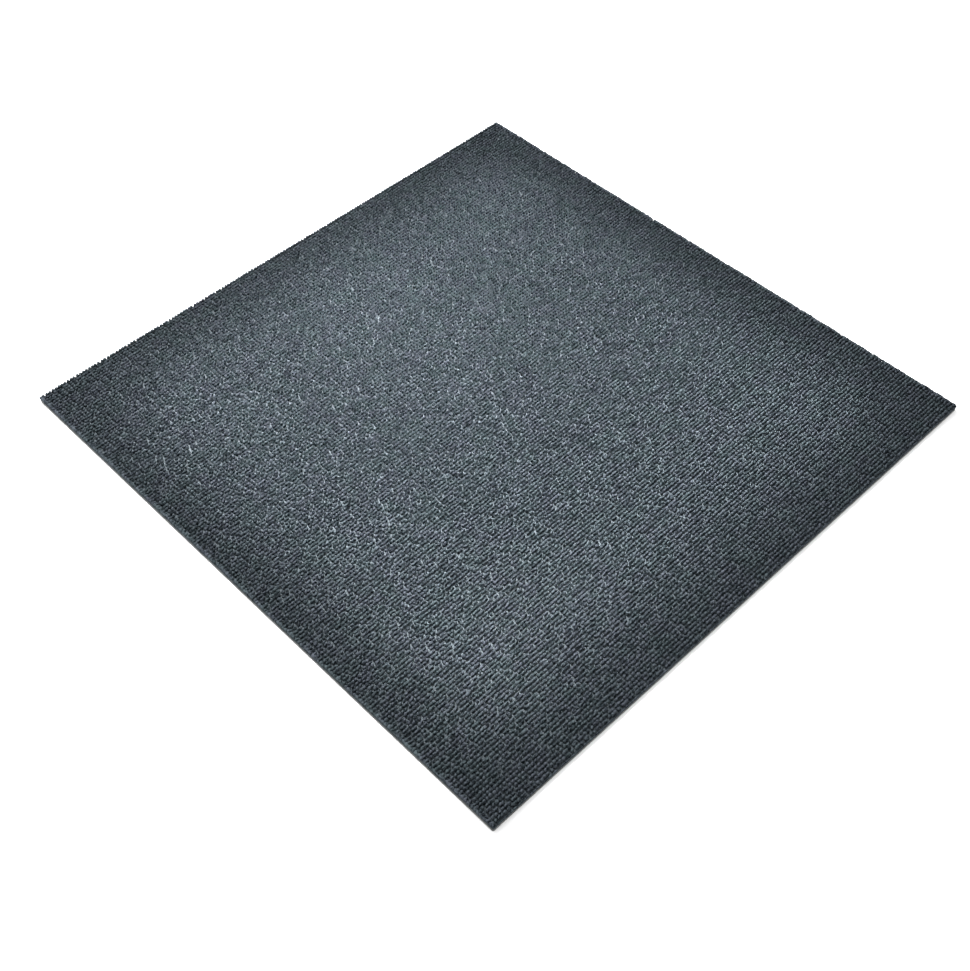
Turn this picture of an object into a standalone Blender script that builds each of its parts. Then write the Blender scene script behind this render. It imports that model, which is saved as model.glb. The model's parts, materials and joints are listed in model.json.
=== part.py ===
# Carpet tile: a square of tufted loop pile on its cloth, with a heavy bitumen backing.
# Metres, +Z up. The origin is at the centre of the underside, where the tile lies on the floor.
# The rows of loops run along X, so X is the tile's length and Y its width.

import bmesh
import bpy

# Outline, cut through all layers at once
TILE_LENGTH = 0.500  # along the rows
TILE_WIDTH = 0.500  # across the rows
BACKING_CORNER_RADIUS = 0.0005  # the heavy backing keeps the die's sharp corner
CLOTH_CORNER_RADIUS = 0.0006
PILE_CORNER_RADIUS = 0.0022  # the last loops of two edges round the corner off

# Layers, from the floor up
BACKING_THICKNESS = 0.0021
CLOTH_THICKNESS = 0.0005
PILE_HEIGHT = 0.0028  # from the cloth to the tops of the loops
PRECOAT_GAP = 0.0003  # film of glue between the backing and the cloth
TUFT_ROOT_GAP = 0.0003  # seat of the loops on the cloth

# Rounded edges
BACKING_CHAMFER = 0.0002  # arris of the underside
PILE_SHOULDER = 0.0009  # the outermost loops fall away to the cut edge
CORNER_SEGMENTS = 5
SHOULDER_SEGMENTS = 4

# Heights that follow from the layers
CLOTH_BOTTOM = BACKING_THICKNESS + PRECOAT_GAP
PILE_BOTTOM = CLOTH_BOTTOM + CLOTH_THICKNESS + TUFT_ROOT_GAP

# Finishes: colour, roughness, metallic
BITUMEN = ("bitumen_backing", (0.022, 0.022, 0.024), 0.78, 0.0)
CLOTH = ("primary_cloth", (0.085, 0.088, 0.090), 0.90, 0.0)
YARN = ("loop_yarn", (0.060, 0.078, 0.090), 0.88, 0.0)


def clear_scene():
    for obj in list(bpy.data.objects):
        bpy.data.objects.remove(obj, do_unlink=True)


def make_material(finish):
    name, colour, roughness, metallic = finish
    material = bpy.data.materials.new(name)
    material.use_nodes = True
    shader = material.node_tree.nodes["Principled BSDF"]
    shader.inputs["Base Color"].default_value = (*colour, 1.0)
    shader.inputs["Roughness"].default_value = roughness
    shader.inputs["Metallic"].default_value = metallic
    material.diffuse_color = (*colour, 1.0)
    return material


def slab_mesh(thickness, corner_radius):
    """A slab of the tile's outline, standing on z = 0, with its four upright edges rounded."""
    mesh = bmesh.new()
    bmesh.ops.create_cube(mesh, size=1.0)
    bmesh.ops.scale(mesh, vec=(TILE_LENGTH, TILE_WIDTH, thickness), verts=mesh.verts)
    bmesh.ops.translate(mesh, vec=(0.0, 0.0, thickness / 2), verts=mesh.verts)
    upright = [e for e in mesh.edges if abs(e.verts[0].co.z - e.verts[1].co.z) > thickness / 2]
    bmesh.ops.bevel(
        mesh,
        geom=upright,
        offset=corner_radius,
        segments=CORNER_SEGMENTS,
        profile=0.5,
        affect="EDGES",
    )
    return mesh


def edges_at(mesh, height):
    """The edges that lie all round the slab at that height."""
    within = 1e-6
    return [e for e in mesh.edges if all(abs(v.co.z - height) < within for v in e.verts)]


def round_rim(mesh, height, width, segments):
    bmesh.ops.bevel(
        mesh,
        geom=edges_at(mesh, height),
        offset=width,
        segments=segments,
        profile=0.5,
        affect="EDGES",
    )


def make_layer(name, mesh, bottom, finish, collection):
    data = bpy.data.meshes.new(name)
    mesh.to_mesh(data)
    mesh.free()
    data.materials.append(make_material(finish))
    layer = bpy.data.objects.new(name, data)
    layer.location.z = bottom
    collection.objects.link(layer)
    return layer


def bitumen_backing(collection):
    """The heavy layer that lies on the floor."""
    mesh = slab_mesh(BACKING_THICKNESS, BACKING_CORNER_RADIUS)
    round_rim(mesh, 0.0, BACKING_CHAMFER, 1)
    return make_layer("bitumen_backing", mesh, 0.0, BITUMEN, collection)


def primary_cloth(collection):
    """The thin cloth that the yarn is tufted through."""
    mesh = slab_mesh(CLOTH_THICKNESS, CLOTH_CORNER_RADIUS)
    return make_layer("primary_cloth", mesh, CLOTH_BOTTOM, CLOTH, collection)


def loop_pile(collection):
    """The space that the loops fill, with its rim rounded as the outermost loops lean out."""
    mesh = slab_mesh(PILE_HEIGHT, PILE_CORNER_RADIUS)
    round_rim(mesh, PILE_HEIGHT, PILE_SHOULDER, SHOULDER_SEGMENTS)
    layer = make_layer("loop_pile", mesh, PILE_BOTTOM, YARN, collection)
    layer.data.shade_smooth()
    layer.data.set_sharp_from_angle(angle=0.6)
    return layer


def main():
    clear_scene()
    tile = bpy.data.collections.new("carpet_tile")
    bpy.context.scene.collection.children.link(tile)
    bitumen_backing(tile)
    primary_cloth(tile)
    loop_pile(tile)


main()
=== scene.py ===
import json
import math

import bpy
import numpy as np
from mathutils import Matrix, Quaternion, Vector

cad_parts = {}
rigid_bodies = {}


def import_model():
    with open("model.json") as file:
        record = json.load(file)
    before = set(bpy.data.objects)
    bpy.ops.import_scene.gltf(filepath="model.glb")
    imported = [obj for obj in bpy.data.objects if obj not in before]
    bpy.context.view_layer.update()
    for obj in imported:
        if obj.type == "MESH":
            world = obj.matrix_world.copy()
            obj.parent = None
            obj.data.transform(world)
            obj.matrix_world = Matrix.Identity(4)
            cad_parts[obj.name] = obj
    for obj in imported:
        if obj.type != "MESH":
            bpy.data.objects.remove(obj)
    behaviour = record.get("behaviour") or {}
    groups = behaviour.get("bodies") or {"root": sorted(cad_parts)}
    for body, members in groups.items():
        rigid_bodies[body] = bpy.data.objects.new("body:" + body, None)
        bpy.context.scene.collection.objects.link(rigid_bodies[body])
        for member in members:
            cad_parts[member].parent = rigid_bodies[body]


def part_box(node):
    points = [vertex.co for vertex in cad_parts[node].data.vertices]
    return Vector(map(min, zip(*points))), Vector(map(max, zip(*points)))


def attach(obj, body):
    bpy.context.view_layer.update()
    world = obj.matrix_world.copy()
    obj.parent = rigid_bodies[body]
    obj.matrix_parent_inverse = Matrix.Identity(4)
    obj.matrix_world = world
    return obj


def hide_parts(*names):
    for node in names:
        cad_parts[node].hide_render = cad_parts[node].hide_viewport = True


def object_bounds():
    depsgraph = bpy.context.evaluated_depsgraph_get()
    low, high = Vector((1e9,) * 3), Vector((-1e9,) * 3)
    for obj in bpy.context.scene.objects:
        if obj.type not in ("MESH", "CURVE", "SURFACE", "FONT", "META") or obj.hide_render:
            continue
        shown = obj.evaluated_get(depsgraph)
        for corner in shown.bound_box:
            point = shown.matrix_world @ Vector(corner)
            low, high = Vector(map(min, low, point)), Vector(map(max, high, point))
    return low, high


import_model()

# Carpet tile with a level loop pile: every loop is modelled, on its cloth and its heavy backing.
# Metres. The rows of loops run along X, and the face looks up.

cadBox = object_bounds()
pileLow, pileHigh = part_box("loop_pile")
clothLow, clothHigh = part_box("primary_cloth")
backingLow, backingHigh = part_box("bitumen_backing")
tileLength = pileHigh.x - pileLow.x
tileWidth = pileHigh.y - pileLow.y
near = 1e-5              # points closer than this count as one place
noiseRange = (0.3, 0.7)  # where most of a noise's values lie


# Small tools for modelling by hand
def deselectAll():
    if bpy.context.object and bpy.context.object.mode != "OBJECT":
        bpy.ops.object.mode_set(mode="OBJECT")
    bpy.ops.object.select_all(action="DESELECT")


def nameActive(name):
    piece = bpy.context.active_object
    piece.name = name
    piece.data.name = name
    return piece


def chooseOnly(piece):
    deselectAll()
    piece.select_set(True)
    bpy.context.view_layer.objects.active = piece


# edit mode with just those points selected for which wanted(co) holds
def pickVerts(piece, wanted):
    chooseOnly(piece)
    bpy.ops.object.mode_set(mode="EDIT")
    bpy.ops.mesh.select_mode(type="VERT")
    bpy.ops.mesh.select_all(action="DESELECT")
    bpy.ops.object.mode_set(mode="OBJECT")
    for vert in piece.data.vertices:
        vert.select = wanted(vert.co)
    bpy.ops.object.mode_set(mode="EDIT")


# edit mode with just the edges longer than that selected
def pickLongEdges(piece, longerThan):
    chooseOnly(piece)
    bpy.ops.object.mode_set(mode="EDIT")
    bpy.ops.mesh.select_mode(type="EDGE")
    bpy.ops.mesh.select_all(action="DESELECT")
    bpy.ops.object.mode_set(mode="OBJECT")
    points = piece.data.vertices
    for edge in piece.data.edges:
        start, end = (points[index].co for index in edge.vertices)
        edge.select = (start - end).length > longerThan
    bpy.ops.object.mode_set(mode="EDIT")


# takes out the points that are marked true, with their faces
def deleteMarked(piece, marked):
    pickVerts(piece, lambda co: False)
    bpy.ops.object.mode_set(mode="OBJECT")
    piece.data.vertices.foreach_set("select", marked)
    bpy.ops.object.mode_set(mode="EDIT")
    bpy.ops.mesh.delete(type="VERT")
    bpy.ops.object.mode_set(mode="OBJECT")


def extrude(step, resize=None):
    bpy.ops.mesh.extrude_region_move(TRANSFORM_OT_translate={"value": step})
    if resize:
        bpy.ops.transform.resize(value=resize)


# normals outwards, and back to object mode
def closeSkin(piece):
    pickVerts(piece, lambda co: True)
    bpy.ops.mesh.normals_make_consistent(inside=False)
    bpy.ops.object.mode_set(mode="OBJECT")


def applyPlace(piece):
    chooseOnly(piece)
    bpy.ops.object.transform_apply(location=True, rotation=True, scale=True)


def repeatAlong(piece, count, step):
    chooseOnly(piece)
    bpy.ops.object.modifier_add(type="ARRAY")
    array = piece.modifiers[-1]
    array.count = count
    array.use_relative_offset = False
    array.use_constant_offset = True
    array.constant_offset_displace = step
    bpy.ops.object.modifier_apply(modifier=array.name)


def readPoints(mesh):
    points = np.empty(len(mesh.vertices) * 3, np.float32)
    mesh.vertices.foreach_get("co", points)
    return points.reshape(-1, 3).astype(float)


def writePoints(mesh, points):
    mesh.vertices.foreach_set("co", points.astype(np.float32).ravel())
    mesh.update()


def writeShade(mesh, name, values):
    layer = mesh.attributes.new(name, "FLOAT", "POINT")
    layer.data.foreach_set("value", np.clip(values, 0, 2).astype(np.float32).ravel())


# turns copies about Z; forms holds each copy's points, turn fits its first two axes
def turnForms(forms, turn):
    x, y, z = forms[..., 0], forms[..., 1], forms[..., 2]
    cos, sin = np.cos(turn), np.sin(turn)
    return np.stack([x * cos - y * sin, x * sin + y * cos, z], -1)


# Materials
def newMaterial(name):
    material = bpy.data.materials.new(name)
    material.use_nodes = True
    tree = material.node_tree
    return material, tree, tree.nodes["Principled BSDF"]


def addNode(tree, kind, **settings):
    node = tree.nodes.new(kind)
    for key, value in settings.items():
        setattr(node, key, value)
    return node


def setInputs(node, values):
    for key, value in values.items():
        node.inputs[key].default_value = value


# noise on the object's own coordinates; scale is one number or (x, y, z), turned about Z
def addNoise(tree, scale, detail, turn=0.0):
    source = addNode(tree, "ShaderNodeTexCoord").outputs["Object"]
    if isinstance(scale, tuple):
        mapping = addNode(tree, "ShaderNodeMapping", vector_type="TEXTURE")
        mapping.inputs["Scale"].default_value = [1 / share for share in scale]
        mapping.inputs["Rotation"].default_value[2] = turn
        tree.links.new(source, mapping.inputs["Vector"])
        source = mapping.outputs["Vector"]
        scale = 1
    noise = addNode(tree, "ShaderNodeTexNoise")
    setInputs(noise, {"Scale": scale, "Detail": detail})
    tree.links.new(source, noise.inputs["Vector"])
    return noise.outputs["Fac"]


# value times factor plus another value or number
def addSum(tree, value, factor, other):
    node = addNode(tree, "ShaderNodeMath", operation="MULTIPLY_ADD")
    tree.links.new(value, node.inputs[0])
    node.inputs[1].default_value = factor
    if isinstance(other, (int, float)):
        node.inputs[2].default_value = other
    else:
        tree.links.new(other, node.inputs[2])
    return node.outputs[0]


# sum of several values, each times its share
def addWeighed(tree, values, shares):
    total = 0.0
    for value, share in reversed(list(zip(values, shares))):
        total = addSum(tree, value, share, total)
    return total


def addRange(tree, value, low, high, toLow=0.0, toHigh=1.0):
    node = addNode(tree, "ShaderNodeMapRange")
    setInputs(node, {"From Min": low, "From Max": high, "To Min": toLow, "To Max": toHigh})
    tree.links.new(value, node.inputs["Value"])
    return node.outputs["Result"]


# first and second are colours or sockets
def addBlend(tree, factor, first, second, way="MIX"):
    node = addNode(tree, "ShaderNodeMix", data_type="RGBA", blend_type=way)
    if isinstance(factor, (int, float)):
        node.inputs["Factor"].default_value = factor
    else:
        tree.links.new(factor, node.inputs["Factor"])
    for key, side in (("A", first), ("B", second)):
        if isinstance(side, tuple):
            node.inputs[key].default_value = (*side, 1)
        else:
            tree.links.new(side, node.inputs[key])
    return node.outputs["Result"]


def addBump(tree, shader, height, strength, distance):
    bump = addNode(tree, "ShaderNodeBump")
    setInputs(bump, {"Strength": strength, "Distance": distance})
    tree.links.new(height, bump.inputs["Height"])
    tree.links.new(bump.outputs["Normal"], shader.inputs["Normal"])


def giveMaterials(piece, *materials):
    piece.data.materials.clear()
    for material in materials:
        piece.data.materials.append(material)


# the piece goes onto the root body, and the node that it stands for is hidden
def settle(piece, node):
    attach(piece, "root")
    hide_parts(node)


# Pile: where each loop stands
pile = {
    "rows": 178,             # the first one lies under the cut, so only its inner half is left
    "rowStep": 0.002818,     # about 1/9 inch
    "lastRow": 0.00141,      # middle of the last row from its cut
    "cutRowHeight": 0.72,    # what is left of the first row, against a whole loop
    "stitches": 174,         # loops in one row
    "spareLoops": 2,         # more at either end of a row, for what the cut runs through
    "strips": 5,             # the pile is kept in this many pieces
    "seed": 11,
    "rowShift": 0.00045,     # of a whole row along itself
    "rowStretch": 0.00035,   # slow drift of a row along itself
    "rowWave": 0.00012,      # and from side to side
    "driftWaves": (2, 5, 9, 17),  # waves of that drift in the length of a row
    "skew": 0.0040,          # of the stitches, from the first row to the last
    "fray": 0.00005,         # unevenness of the cut
}

# One loop of the field; neighbours run into each other along the row
loopForm = {
    "sides": 6,
    "halfLength": 0.00185,   # along the row
    "halfWidth": 0.00130,
    "bellyRise": 0.0018,     # widest point above the cloth
    "crownLength": 0.66,     # crown against the belly
    "crownWidth": 0.13,
    "crownDrop": 0.00046,    # how far the crown falls at its two ends
    "footLength": 0.80,      # foot against the belly
    "footWidth": 0.66,
    "rooted": 0.0001,        # how deep the loops sit in the cloth
}

ruffle = {
    "length": 0.08,          # spread of the loops' sizes, as shares
    "width": 0.10,
    "height": 0.06,
    "turn": math.radians(10),
    "footTurn": 0.3,         # the foot's share of that turn
    "leanAlong": 0.00033,    # how far a crown wanders from its foot
    "leanAcross": 0.00025,
    "wanderAlong": 0.00033,  # of a whole loop
    "wanderAcross": 0.00011,
    "dent": 0.00010,         # of each point
    "dentFrom": 0.05,        # above this share of the height, so the foot stays in the cloth
}

shade = {
    "base": 0.19,
    "spread": 0.14,          # from loop to loop
    "brightTail": 1 / 3,     # the loops that differ most are lighter still, by this share of it
    "crown": 0.86,           # painted highlight on the ridge, partly the lighter opened fibres there
    "crownPower": 4,         # how suddenly it sets in towards the top
    "crownMiddle": 0.34,     # of that highlight, taken off the whole loop again
    "foot": 0.65,            # painted light, lighter again down between the rows where shade falls
    "fleck": 0.18,           # from point to point
}

# The loop nearest to either end of a row is moved onto the cut, which opens its yarn
rowEnd = {
    "reach": (-0.7, 0.3),    # how near to the cut it stands, in stitches, below 0 outside
    "inset": 0.0007,         # it ends up at most this far inside
    "length": 1.45,          # against a loop of the field
    "width": 1.35,
    "flare": 0.00066,        # how far its crown opens to either side
    "drop": 0.18,            # lower by up to this share, the lowest ones furthest inside
    "ruffled": 0.6,          # against the loops in the field
    "shade": -0.10,          # darker at the cut, by this much
}

stitch = tileLength / pile["stitches"]
perRow = pile["stitches"] + 2 * pile["spareLoops"]
loopHeight = pileHigh.z - clothHigh.z + loopForm["rooted"]
dice = np.random.default_rng(pile["seed"])


def gridPlaces(firstRow, rows):
    places = np.zeros((rows, perRow, 3))
    number = np.arange(perRow) - pile["spareLoops"] + 0.5
    fromLast = pile["rows"] - 1 - firstRow - np.arange(rows)
    places[..., 0] = (pileLow.x + stitch * number)[None]
    places[..., 1] = (pileHigh.y - pile["lastRow"] - pile["rowStep"] * fromLast)[:, None]
    places[..., 2] = clothHigh.z - loopForm["rooted"]
    return places


# each row wanders a little, so the stitches of two rows never stay in step
def rowDrift():
    drift = np.zeros((pile["rows"], perRow, 3))
    along = np.arange(perRow) / perRow
    for axis, reach in ((0, pile["rowStretch"]), (1, pile["rowWave"])):
        for waves in pile["driftWaves"]:
            phase = dice.uniform(0, 2 * math.pi, (pile["rows"], 1))
            drift[..., axis] += np.sin(2 * math.pi * waves * along[None] + phase) * reach / 2
    drift[..., 0] += pile["rowShift"] * dice.standard_normal((pile["rows"], 1))
    drift[..., 0] += pile["skew"] * np.linspace(-0.5, 0.5, pile["rows"])[:, None]
    return drift


# every loop gets its own size, turn and lean; forms holds each copy's points about its own foot,
# and amount is a number, or a column with one for each copy
def ruffleForms(forms, amount):
    one = (len(forms), 1)
    forms = forms.copy()
    forms[..., 0] *= 1 + amount * ruffle["length"] * dice.standard_normal(one)
    forms[..., 1] *= 1 + amount * ruffle["width"] * dice.standard_normal(one)
    forms[..., 2] *= 1 - np.abs(amount * ruffle["height"] * dice.standard_normal(one))
    rise = forms[..., 2] / loopHeight
    turn = amount * ruffle["turn"] * dice.standard_normal(one)
    forms = turnForms(forms, turn * (ruffle["footTurn"] + (1 - ruffle["footTurn"]) * rise))
    forms[..., 0] += amount * ruffle["leanAlong"] * dice.standard_normal(one) * rise
    forms[..., 1] += amount * ruffle["leanAcross"] * dice.standard_normal(one) * rise
    forms[..., 0] += amount * ruffle["wanderAlong"] * dice.standard_normal(one)
    forms[..., 1] += amount * ruffle["wanderAcross"] * dice.standard_normal(one)
    free = (rise > ruffle["dentFrom"])[..., None]
    return forms + ruffle["dent"] * dice.standard_normal(forms.shape) * free


# yarn shade on the points: from loop to loop, with a painted highlight on the crown and painted light low
# down between the rows
def shadeForms(forms):
    loopShade = dice.standard_normal((len(forms), 1))
    rise = np.clip(forms[..., 2] / loopHeight, 0, 1)
    tone = shade["base"] + shade["spread"] * (loopShade + shade["brightTail"] * loopShade ** 2)
    # painted highlight, growing towards the top of each loop
    tone = tone + shade["crown"] * (rise ** shade["crownPower"] - shade["crownMiddle"])
    # painted light, lifting the shade low down between the rows
    tone = tone + shade["foot"] * (1 - rise)
    return tone + shade["fleck"] * dice.standard_normal(rise.shape)


# One loop in the field: foot, belly and crown, from a six-sided drum
def makeLoop(name):
    deselectAll()
    bpy.ops.mesh.primitive_cylinder_add(
        vertices=loopForm["sides"], radius=1.0, depth=loopForm["bellyRise"], end_fill_type="NGON",
        location=(0, 0, loopForm["bellyRise"] / 2), rotation=(0, 0, math.pi / loopForm["sides"]))
    loop = nameActive(name)
    loop.scale = (loopForm["halfLength"], loopForm["halfWidth"], 1)
    applyPlace(loop)
    pickVerts(loop, lambda co: co.z > loopForm["bellyRise"] - near)
    crownRise = loopHeight - loopForm["bellyRise"]
    extrude((0, 0, crownRise), (loopForm["crownLength"], loopForm["crownWidth"], 1))
    pickVerts(loop, lambda co: co.z > loopHeight - near and abs(co.y) < near)
    bpy.ops.transform.translate(value=(0, 0, -loopForm["crownDrop"]))
    pickVerts(loop, lambda co: co.z < near)
    bpy.ops.transform.resize(value=(loopForm["footLength"], loopForm["footWidth"], 1))
    for side in (-1, 1):  # the foot's long sides close to a point each
        pickVerts(loop, lambda co: co.z < near and co.y * side > near)
        bpy.ops.mesh.merge(type="CENTER")
    closeSkin(loop)
    return loop


# the die cuts straight down through whatever stands in its way
def dieCut(points):
    for axis, half in ((0, tileLength / 2), (1, tileWidth / 2)):
        limit = half - np.abs(pile["fray"] * dice.standard_normal(points.shape[:-1]))
        points[..., axis] = np.clip(points[..., axis], -limit, limit)
    return points


# moves the row ends onto the cut; says which loops lie outside, which are row ends,
# and how far inside each of those stands
def moveRowEnds(places):
    fromCut = (tileLength / 2 - np.abs(places[:, 0, 0])) / stitch
    outside = fromCut < rowEnd["reach"][0]
    ends = (fromCut < rowEnd["reach"][1]) & ~outside
    inset = rowEnd["inset"] * dice.uniform(0, 1, ends.sum())
    places[ends, 0, 0] = np.sign(places[ends, 0, 0]) * (tileLength / 2 - inset)
    return outside, ends, inset


def openCrowns(forms):
    side = np.sign(forms[..., 1]) * (np.abs(forms[..., 1]) > near)
    forms[..., 1] += rowEnd["flare"] * side * forms[..., 2] / loopHeight
    return forms


# copies of one loop over those rows, each with its own shape and shade
def layLoops(piece, firstRow, rows, drift, ruffled=1.0, leanOut=0.0, paintedRimLight=0.0):
    perLoop = len(piece.data.vertices)
    repeatAlong(piece, perRow, (stitch, 0, 0))
    repeatAlong(piece, rows, (0, pile["rowStep"], 0))
    places = gridPlaces(firstRow, rows)
    stood = (places - places[0, 0]).reshape(-1, 1, 3)
    forms = readPoints(piece.data).reshape(-1, perLoop, 3) - stood
    # an extra painted rim light, lighter on all these loops alike
    tone = shadeForms(forms) + paintedRimLight
    places = (places + drift[firstRow:firstRow + rows]).reshape(-1, 1, 3)
    outside, ends, inset = moveRowEnds(places)
    forms[ends] = openCrowns(forms[ends])
    tone[ends] += rowEnd["shade"]
    forms = ruffleForms(forms, np.where(ends, rowEnd["ruffled"], ruffled)[:, None])
    forms[ends] *= (rowEnd["length"], rowEnd["width"], 1)
    forms[ends, :, 2] *= 1 - rowEnd["drop"] * (inset / rowEnd["inset"])[:, None]
    forms[..., 1] += leanOut * forms[..., 2] / loopHeight
    if firstRow == 0:
        forms[:perRow, :, 2] *= pile["cutRowHeight"]
    writePoints(piece.data, dieCut(forms + places).reshape(-1, 3))
    writeShade(piece.data, "yarnShade", tone)
    deleteMarked(piece, np.repeat(outside, perLoop))
    piece.data.shade_smooth()
    return piece


# Last row: the cut runs between two rows, so it keeps whole arches of yarn that lean out a little
edgeArch = {
    "legSpread": 0.00072,    # middle of a leg from the middle of the loop
    "yarnAlong": 0.00062,    # half the yarn's thickness along the row
    "yarnAcross": 0.00112,
    "sides": 8,              # of the yarn
    "steps": 8,              # round the bend
    "leanOut": 0.00030,
    "paintedRimLight": 0.30,           # painted rim light: lighter, as if lit from behind
    "ruffled": 0.4,          # against the loops in the field
}


def makeArch(name):
    legHeight = loopHeight - edgeArch["legSpread"] - edgeArch["yarnAlong"]
    deselectAll()
    bpy.ops.mesh.primitive_circle_add(
        vertices=edgeArch["sides"], radius=1.0, fill_type="NOTHING",
        location=(-edgeArch["legSpread"], 0, 0))
    arch = nameActive(name)
    arch.scale = (edgeArch["yarnAlong"], edgeArch["yarnAcross"], 1)
    applyPlace(arch)
    pickVerts(arch, lambda co: True)
    extrude((0, 0, legHeight))
    bpy.ops.mesh.spin(
        steps=edgeArch["steps"], angle=math.pi, center=(0, 0, legHeight), axis=(0, -1, 0))
    extrude((0, 0, -legHeight))
    for side in (-1, 1):  # close both feet
        pickVerts(arch, lambda co: co.z < near and co.x * side > 0)
        bpy.ops.mesh.edge_face_add()
    closeSkin(arch)
    return arch


# Loose filaments: pulled out by the die along the four cuts, and a few on the face
filament = {
    "thickness": 0.00009,
    "length": 0.0030,
    "bends": ((0.15, 0.95), (0.45, 0.85), (0.8, 0.55), (0.95, 0.1)),  # out and up, part by part
    "taper": 0.9,            # from part to part
    "sizes": (0.45, 1.0),    # against the whole length
    "shade": 0.55,
    "onFace": 420,
    "faceShare": 0.98,       # of the tile's length and width that they stand on
    "faceDepth": 0.0011,     # of their roots below the tops of the loops
    "alongCuts": 620,
    "cutShare": 0.495,       # how far they go to either side of a cut's middle
    "cutInset": 0.0009,      # of their roots from the cut
    "cutTurn": 1.1,          # in radians, to either side of straight out
    "aboveCloth": 0.0006,    # their roots lie between these two
    "belowTops": 0.0012,
    "reach": 0.0007,         # beyond the cut and the tops at most
}


def makeFilaments(name):
    deselectAll()
    bpy.ops.mesh.primitive_circle_add(
        vertices=3, radius=filament["thickness"] / 2, fill_type="NGON", location=(0, 0, 0))
    strand = nameActive(name)
    pickVerts(strand, lambda co: True)
    part = filament["length"] / len(filament["bends"])
    for outward, upward in filament["bends"]:
        extrude((outward * part, 0, upward * part), (filament["taper"],) * 3)
    bpy.ops.mesh.merge(type="CENTER")
    closeSkin(strand)
    perStrand = len(strand.data.vertices)
    count = filament["alongCuts"] + filament["onFace"]
    repeatAlong(strand, count, (0, 0, 0))  # all in one place, until each gets its own
    forms = readPoints(strand.data).reshape(count, perStrand, 3)
    forms = forms * dice.uniform(*filament["sizes"], (count, 1, 1))
    turn = dice.uniform(0, 2 * math.pi, count)
    places = np.zeros((count, 3))
    places[:, 0] = dice.uniform(pileLow.x, pileHigh.x, count) * filament["faceShare"]
    places[:, 1] = dice.uniform(pileLow.y, pileHigh.y, count) * filament["faceShare"]
    places[:, 2] = pileHigh.z - filament["faceDepth"]
    cuts = np.arange(filament["alongCuts"])
    share = filament["cutShare"]
    alongCut = dice.uniform(-share, share, len(cuts)) * tileLength
    rootRange = (clothHigh.z + filament["aboveCloth"], pileHigh.z - filament["belowTops"])
    for index, (axis, sign) in enumerate(((0, 1), (1, 1), (0, -1), (1, -1))):
        mine = cuts[cuts % 4 == index]
        places[mine, axis] = sign * (tileLength / 2 - filament["cutInset"])
        places[mine, 1 - axis] = alongCut[mine]
        sideways = dice.uniform(-filament["cutTurn"], filament["cutTurn"], len(mine))
        turn[mine] = math.pi / 2 * index + sideways
        places[mine, 2] = dice.uniform(*rootRange, len(mine))
    points = turnForms(forms, turn[:, None]) + places[:, None]
    limit = tileLength / 2 + filament["reach"]
    points[..., :2] = np.clip(points[..., :2], -limit, limit)
    points[..., 2] = np.minimum(points[..., 2], pileHigh.z + filament["reach"])
    writePoints(strand.data, points.reshape(-1, 3))
    writeShade(strand.data, "yarnShade", np.full(count * perStrand, filament["shade"]))
    strand.data.shade_smooth()
    return strand


# In each finish, a noise is its scale per metre and its detail, a bump its strength and distance
yarn = {
    "dark": (0.0017, 0.0026, 0.0034),
    "body": (0.0076, 0.0101, 0.0122),
    "light": (0.0385, 0.0457, 0.0522),
    "valueRange": (0.15, 1.45),  # shades from the dark to the light
    "strands": ((600, 1000, 950), 2),  # scale along the row, across it and up
    "threads": ((900, 5600, 3200), 2),
    "twist": math.radians(28),   # of the threads; the strands have half of it
    "threadShare": 0.35,         # of the threads in the colour, beside the strands
    "grainRange": (0.54, 0.80),
    "strandReach": 1.18,         # how far the shade differs inside a loop
    "casts": (85, 2),            # the dye drifts between two tints
    "castRange": (0.35, 0.65),
    "greenTint": (0.955, 1.025, 0.975),
    "violetTint": (1.045, 0.985, 1.045),
    "roughness": (0.80, 0.96),
    "threadBump": 0.6,           # of the threads in the bump, beside the strands
    "bump": (0.5, 0.0002),
    "shine": 0.05,
    "sheen": 0.01,
    "sheenRoughness": 0.5,
    "glowTint": (0.60, 0.85, 1.0),
}


def yarnMaterial():
    material, tree, shader = newMaterial("solutionDyedYarn")
    tone = addNode(tree, "ShaderNodeAttribute", attribute_name="yarnShade")
    strands = addNoise(tree, *yarn["strands"], yarn["twist"] / 2)
    threads = addNoise(tree, *yarn["threads"], yarn["twist"])
    grain = addRange(tree, addSum(tree, threads, yarn["threadShare"], strands), *yarn["grainRange"])
    value = addSum(tree, grain, yarn["strandReach"], tone.outputs["Fac"])
    ramp = addNode(tree, "ShaderNodeValToRGB")
    stops = ramp.color_ramp.elements
    stops.new(0.5)
    for stop, name in zip(stops, ("dark", "body", "light")):
        stop.color = (*yarn[name], 1)
    tree.links.new(addRange(tree, value, *yarn["valueRange"]), ramp.inputs["Fac"])
    lot = addRange(tree, addNoise(tree, *yarn["casts"]), *yarn["castRange"])
    cast = addBlend(tree, lot, yarn["greenTint"], yarn["violetTint"])
    colour = addBlend(tree, 1.0, ramp.outputs["Color"], cast, "MULTIPLY")
    tree.links.new(colour, shader.inputs["Base Color"])
    roughness = addRange(tree, strands, *noiseRange, *yarn["roughness"])
    tree.links.new(roughness, shader.inputs["Roughness"])
    addBump(tree, shader, addSum(tree, threads, yarn["threadBump"], strands), *yarn["bump"])
    setInputs(shader, {
        "Specular IOR Level": yarn["shine"],
        "Specular Tint": (*yarn["glowTint"], 1),
        "Sheen Weight": yarn["sheen"],
        "Sheen Roughness": yarn["sheenRoughness"],
        "Sheen Tint": (*yarn["glowTint"], 1),
    })
    return material


print("pile: field of loops")
drift = rowDrift()
yarnFinish = yarnMaterial()
pilePieces = []
fieldRows = pile["rows"] - 1
for index in range(pile["strips"]):
    start = round(fieldRows * index / pile["strips"])
    end = round(fieldRows * (index + 1) / pile["strips"])
    pilePieces.append(layLoops(makeLoop(f"loop_rows_{index + 1}"), start, end - start, drift))

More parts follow.
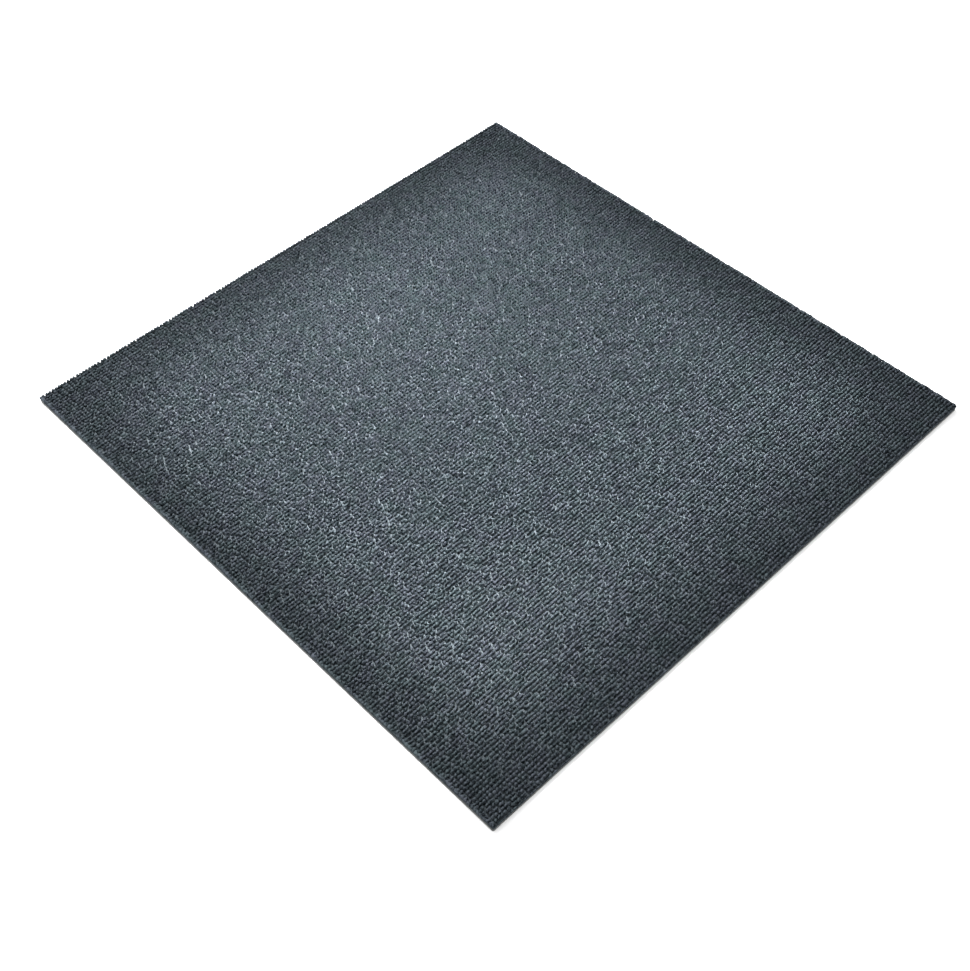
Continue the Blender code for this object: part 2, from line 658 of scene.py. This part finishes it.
print("pile: last row and loose filaments")
pilePieces.append(layLoops(makeArch("edge_loops_last_row"), fieldRows, 1, drift,
                           edgeArch["ruffled"], edgeArch["leanOut"], edgeArch["paintedRimLight"]))
pilePieces.append(makeFilaments("loose_filaments"))
for piece in pilePieces:
    giveMaterials(piece, yarnFinish)
    settle(piece, "loop_pile")


# Die-cut layers: both start as the tile's outline, drawn up ring by ring
dieSheet = {
    "cornerSteps": 4,
    "sideParts": 100,
    "longSide": 0.1,         # an edge longer than this is a side of the outline
    "longPart": 0.003,       # and one longer than this is a part of a side
    "rimWidth": 0.003,       # points this near to the cut waver
    "sharpFrom": math.radians(35),
    "cutFacing": 0.8,        # a face whose normal rises or falls less than this belongs to the cut
}


def makeSheetLayer(name, low, high, layer):
    chamfer = layer["chamfer"]
    deselectAll()
    bpy.ops.mesh.primitive_plane_add(size=1, location=(0, 0, low))
    sheet = nameActive(name)
    sheet.scale = (tileLength - 2 * chamfer, tileWidth - 2 * chamfer, 1)
    applyPlace(sheet)
    pickVerts(sheet, lambda co: True)
    bpy.ops.mesh.bevel(offset=layer["corner"], segments=dieSheet["cornerSteps"], affect="VERTICES")
    bpy.ops.object.mode_set(mode="OBJECT")
    pickLongEdges(sheet, dieSheet["longSide"])
    bpy.ops.mesh.subdivide(number_cuts=dieSheet["sideParts"] - 1)
    pickLongEdges(sheet, dieSheet["longPart"])
    bpy.ops.mesh.subdivide(number_cuts=layer["partCuts"])
    pickVerts(sheet, lambda co: True)
    if chamfer:
        grow = 1 + 2 * chamfer / tileLength
        extrude((0, 0, chamfer), (grow, grow, 1))
    for share in layer["rings"]:
        extrude((0, 0, (high - low - chamfer) * share))
    closeSkin(sheet)
    waverCut(sheet, low, high, layer)
    sheet.data.shade_smooth()
    sheet.data.set_sharp_from_angle(angle=dieSheet["sharpFrom"])
    return sheet


# the cut isn't quite even: its points stray inwards, and those between the two faces up or down
def waverCut(sheet, low, high, layer):
    points = readPoints(sheet.data)
    fromMiddle = np.abs(points[:, :2])
    rim = fromMiddle.max(1) > tileLength / 2 - dieSheet["rimWidth"]
    waver = layer["waver"] * dice.standard_normal(len(points))
    side = np.argmax(fromMiddle, 1)
    for axis in (0, 1):
        mine = rim & (side == axis)
        points[mine, axis] -= np.sign(points[mine, axis]) * (layer["inset"] + np.abs(waver[mine]))
    between = (points[:, 2] > low + layer["chamfer"] + near) & (points[:, 2] < high - near)
    points[between, 2] += layer["waver"] * dice.standard_normal(between.sum())
    writePoints(sheet.data, points)


def markCutFaces(piece):
    for face in piece.data.polygons:
        face.material_index = 1 if abs(face.normal.z) < dieSheet["cutFacing"] else 0


backing = {
    "chamfer": 0.0002,       # of the underside
    "corner": 0.0010,
    "partCuts": 3,           # in each part of a side
    "rings": (0.22, 0.26, 0.27, 0.25),  # shares of the height
    "inset": 0.0,
    "waver": 0.00004,
    "overlap": 0.00035,      # the film of glue fills the gap up to the cloth
}

cutBitumen = {
    "colours": ((0.045, 0.047, 0.045), (0.128, 0.133, 0.127)),
    "dust": (2600, 4),       # stone dust in the bitumen
    "shear": ((1500, 1500, 260), 3),  # marks of the die, from top to bottom
    "smear": (160, 3),
    "shares": (0.5, 0.6, 0.5),  # of those three in the colour and the bump
    "colourRange": (0.55, 1.05),
    "roughness": (0.62, 0.92),
    "bump": (0.6, 0.0002),
    "shine": 0.3,
}


def cutBitumenMaterial():
    material, tree, shader = newMaterial("cutBitumen")
    dust, shear, smear = (addNoise(tree, *cutBitumen[name]) for name in ("dust", "shear", "smear"))
    value = addWeighed(tree, (dust, shear, smear), cutBitumen["shares"])
    tint = addRange(tree, value, *cutBitumen["colourRange"])
    tree.links.new(addBlend(tree, tint, *cutBitumen["colours"]), shader.inputs["Base Color"])
    roughness = addRange(tree, dust, *noiseRange, *cutBitumen["roughness"])
    tree.links.new(roughness, shader.inputs["Roughness"])
    addBump(tree, shader, value, *cutBitumen["bump"])
    setInputs(shader, {"Specular IOR Level": cutBitumen["shine"]})
    return material


faceBitumen = {
    "colours": ((0.012, 0.012, 0.013), (0.030, 0.030, 0.031)),
    "grain": (1900, 5),
    "fleece": ((420, 2300, 900), 3),  # thin fleece pressed into the face
    "cloud": (22, 4),
    "shares": (0.45, 0.45, 0.6),  # of those three in the colour
    "colourRange": (0.45, 1.05),
    "roughnessRange": (0.5, 1.0),
    "roughness": (0.9, 0.66),
    "grainBump": 0.7,        # of the grain in the bump, beside the fleece
    "bump": (0.55, 0.00025),
    "shine": 0.35,
}


def faceBitumenMaterial():
    material, tree, shader = newMaterial("bitumenUnderside")
    grain, fleece, cloud = (addNoise(tree, *faceBitumen[name]) for name in ("grain", "fleece", "cloud"))
    value = addWeighed(tree, (grain, fleece, cloud), faceBitumen["shares"])
    tint = addRange(tree, value, *faceBitumen["colourRange"])
    tree.links.new(addBlend(tree, tint, *faceBitumen["colours"]), shader.inputs["Base Color"])
    roughness = addRange(tree, value, *faceBitumen["roughnessRange"], *faceBitumen["roughness"])
    tree.links.new(roughness, shader.inputs["Roughness"])
    addBump(tree, shader, addSum(tree, grain, faceBitumen["grainBump"], fleece), *faceBitumen["bump"])
    setInputs(shader, {"Specular IOR Level": faceBitumen["shine"]})
    return material


print("backing and cloth")
bitumen = makeSheetLayer("heavy_backing", backingLow.z, backingHigh.z + backing["overlap"], backing)
giveMaterials(bitumen, faceBitumenMaterial(), cutBitumenMaterial())
markCutFaces(bitumen)
settle(bitumen, "bitumen_backing")

cloth = {
    "chamfer": 0.0,
    "corner": 0.0006,
    "partCuts": 2,           # in each part of a side
    "rings": (0.5, 0.5),     # shares of the height
    "inset": 0.00012,        # behind the ends of its tapes
    "waver": 0.00003,
    "overlap": 0.0001,       # down into the film of glue
    "tapePitch": 0.00141,    # flat tapes of the weave, both ways
    "colours": ((0.030, 0.037, 0.042), (0.068, 0.081, 0.090)),
    "weaveShares": (0.5, 0.5),  # of the tapes along X and along Y
    "weaveWander": 0.4,
    "fray": (1700, 3),
    "frayShare": 0.7,        # beside the weave
    "colourRange": (0.4, 1.3),
    "roughness": (0.55, 0.8),
    "bump": (0.5, 0.0002),
    "shine": 0.08,
    "sheen": 0.01,
}


def clothMaterial():
    material, tree, shader = newMaterial("wovenTapeCloth")
    place = addNode(tree, "ShaderNodeTexCoord").outputs["Object"]
    perMetre = 2 * math.pi / 20  # the scale at which a wave texture repeats once in a metre
    weave = []
    for direction in ("X", "Y"):
        wave = addNode(tree, "ShaderNodeTexWave", bands_direction=direction)
        setInputs(wave, {"Scale": perMetre / cloth["tapePitch"], "Distortion": cloth["weaveWander"]})
        tree.links.new(place, wave.inputs["Vector"])
        weave.append(wave.outputs["Fac"])
    fray = addNoise(tree, *cloth["fray"])
    value = addSum(tree, fray, cloth["frayShare"], addWeighed(tree, weave, cloth["weaveShares"]))
    tint = addRange(tree, value, *cloth["colourRange"])
    tree.links.new(addBlend(tree, tint, *cloth["colours"]), shader.inputs["Base Color"])
    roughness = addRange(tree, fray, *noiseRange, *cloth["roughness"])
    tree.links.new(roughness, shader.inputs["Roughness"])
    addBump(tree, shader, value, *cloth["bump"])
    setInputs(shader, {"Specular IOR Level": cloth["shine"], "Sheen Weight": cloth["sheen"]})
    return material


# One tape end: a flat ribbon in three parts that dips and rises over its neighbours
tapeEnd = {
    "width": 0.00118,
    "thickness": 0.00022,
    "part": 0.0012,
    "rises": (-0.00010, 0.00012),  # of the second and the third part
    "reach": 0.00018,        # beyond the cut, or short of it, at most
    "turn": 0.03,            # spread of their directions, in radians
    "wander": 0.00008,       # and of their places along the side
    "leftOut": 2,            # on each side, for the corners
}


def makeTapeEnds(name):
    deselectAll()
    bpy.ops.mesh.primitive_cube_add(size=1, location=(-2.5 * tapeEnd["part"], 0, 0))
    tapes = nameActive(name)
    tapes.scale = (tapeEnd["part"], tapeEnd["width"], tapeEnd["thickness"])
    applyPlace(tapes)
    pickVerts(tapes, lambda co: co.x > -2 * tapeEnd["part"] - near)
    for rise in tapeEnd["rises"]:
        extrude((tapeEnd["part"], 0, rise))
    bpy.ops.object.mode_set(mode="OBJECT")
    perTape = len(tapes.data.vertices)
    perSide = int(tileLength / cloth["tapePitch"]) - tapeEnd["leftOut"]
    count = 4 * perSide
    repeatAlong(tapes, count, (0, 0, 0))  # all in one place, until each gets its own
    forms = readPoints(tapes.data).reshape(count, perTape, 3)
    number = np.arange(count) % perSide
    facing = np.arange(count) // perSide * math.pi / 2
    turn = facing + tapeEnd["turn"] * dice.standard_normal(count)
    forms[..., 2] *= np.where(number % 2, 1.0, -1.0)[:, None]  # every other one is upside down
    fromMiddle = (number - (perSide - 1) / 2) * cloth["tapePitch"]
    fromMiddle = fromMiddle + tapeEnd["wander"] * dice.standard_normal(count)
    outward = tileLength / 2 + tapeEnd["reach"] * dice.uniform(-1, 1, count)
    places = np.stack([outward, fromMiddle, np.full(count, (clothLow.z + clothHigh.z) / 2)], -1)
    places = turnForms(places, facing)
    writePoints(tapes.data, (turnForms(forms, turn[:, None]) + places[:, None]).reshape(-1, 3))
    closeSkin(tapes)
    return tapes


clothFinish = clothMaterial()
clothSheet = makeSheetLayer("cloth_sheet", clothLow.z - cloth["overlap"], clothHigh.z, cloth)
for piece in (clothSheet, makeTapeEnds("cloth_tape_ends")):
    giveMaterials(piece, clothFinish)
    settle(piece, "primary_cloth")

studio = {
    "sky": 1.35,
    "floorSize": 8,
    "floorColours": ((0.85, 0.85, 0.85), (0.88, 0.88, 0.88)),
    "floorClouds": (6, 3),
    "floorRoughness": 0.9,
    "floorShine": 0.1,
}

# Softboxes: "facing" points from the tile to the box, and the light falls the other way
softboxes = {
    "gridSoftbox": {         # with a grid, above the tile and a little to the rear
        "power": 3.38,
        "size": (0.43, 0.395),
        "place": (0.0, 0.30, 0.85),
        "facing": (0.0, 0.30, 0.85),
        "spread": math.radians(8),
    },
    "spotSoftbox": {         # smaller and more open, for the slow fall towards the first rows
        "power": 0.31,
        "size": (0.20, 0.20),
        "place": (0.0, 0.11, 0.90),
        "facing": (0.0, 0.0, 1.0),
        "spread": math.radians(20),
    },
    "rearSoftbox": {         # open, behind the last row
        "power": 39.0,
        "size": (0.5, 0.5),
        "place": (0.0, 0.75, 0.75),
        "facing": (0.0, 0.75, 0.75),
        "spread": math.pi,
    },
}

camera = {
    "azimuth": math.radians(-43.196),
    "elevation": math.radians(50.698),
    "roll": math.radians(-0.791),
    "distance": 1.0174,
    "aim": Vector((-0.07902, -0.03900, 0.0056)),
    "lens": 51.55,           # millimetres, as is the sensor
    "sensor": 36,
    "shift": (0.0299, -0.0012),
    "clipStart": 0.01,
}


def floorMaterial():
    material, tree, shader = newMaterial("studioFloor")
    tint = addRange(tree, addNoise(tree, *studio["floorClouds"]), *noiseRange)
    tree.links.new(addBlend(tree, tint, *studio["floorColours"]), shader.inputs["Base Color"])
    setInputs(shader, {"Roughness": studio["floorRoughness"], "Specular IOR Level": studio["floorShine"]})
    return material


def addSoftbox(name, box):
    light = bpy.data.lights.new(name, "AREA")
    light.shape = "RECTANGLE"
    light.size, light.size_y = box["size"]
    light.spread = box["spread"]
    light.energy = box["power"]
    holder = bpy.data.objects.new(name, light)
    bpy.context.scene.collection.objects.link(holder)
    holder.location = box["place"]
    holder.rotation_euler = Vector(box["facing"]).to_track_quat("Z", "Y").to_euler()
    holder.visible_camera = False


def addCamera(name):
    lens = bpy.data.cameras.new(name)
    lens.sensor_fit = "HORIZONTAL"
    lens.sensor_width = camera["sensor"]
    lens.lens = camera["lens"]
    lens.shift_x, lens.shift_y = camera["shift"]
    lens.clip_start = camera["clipStart"]
    holder = bpy.data.objects.new(name, lens)
    bpy.context.scene.collection.objects.link(holder)
    az, el = camera["azimuth"], camera["elevation"]
    back = Vector((math.sin(az) * math.cos(el), -math.cos(az) * math.cos(el), math.sin(el)))
    holder.location = camera["aim"] + back * camera["distance"]
    level = back.to_track_quat("Z", "Y")
    holder.rotation_euler = (level @ Quaternion((0, 0, 1), camera["roll"])).to_euler()
    return holder


print("floor, light and camera")
deselectAll()
bpy.ops.mesh.primitive_plane_add(size=studio["floorSize"], location=(0, 0, cadBox[0][2]))
floor = nameActive("studio_floor")
applyPlace(floor)
giveMaterials(floor, floorMaterial())

scene = bpy.context.scene
scene.world = bpy.data.worlds.new("studioSky")
scene.world.use_nodes = True
setInputs(scene.world.node_tree.nodes["Background"],
          {"Color": (1, 1, 1, 1), "Strength": studio["sky"]})
for name, box in softboxes.items():
    addSoftbox(name, box)
scene.camera = addCamera("tileCamera")
scene.view_settings.view_transform = "Standard"

triangles = sum(len(face.vertices) - 2 for piece in scene.objects
                if piece.type == "MESH" and not piece.hide_render for face in piece.data.polygons)
print("triangles in view:", triangles)
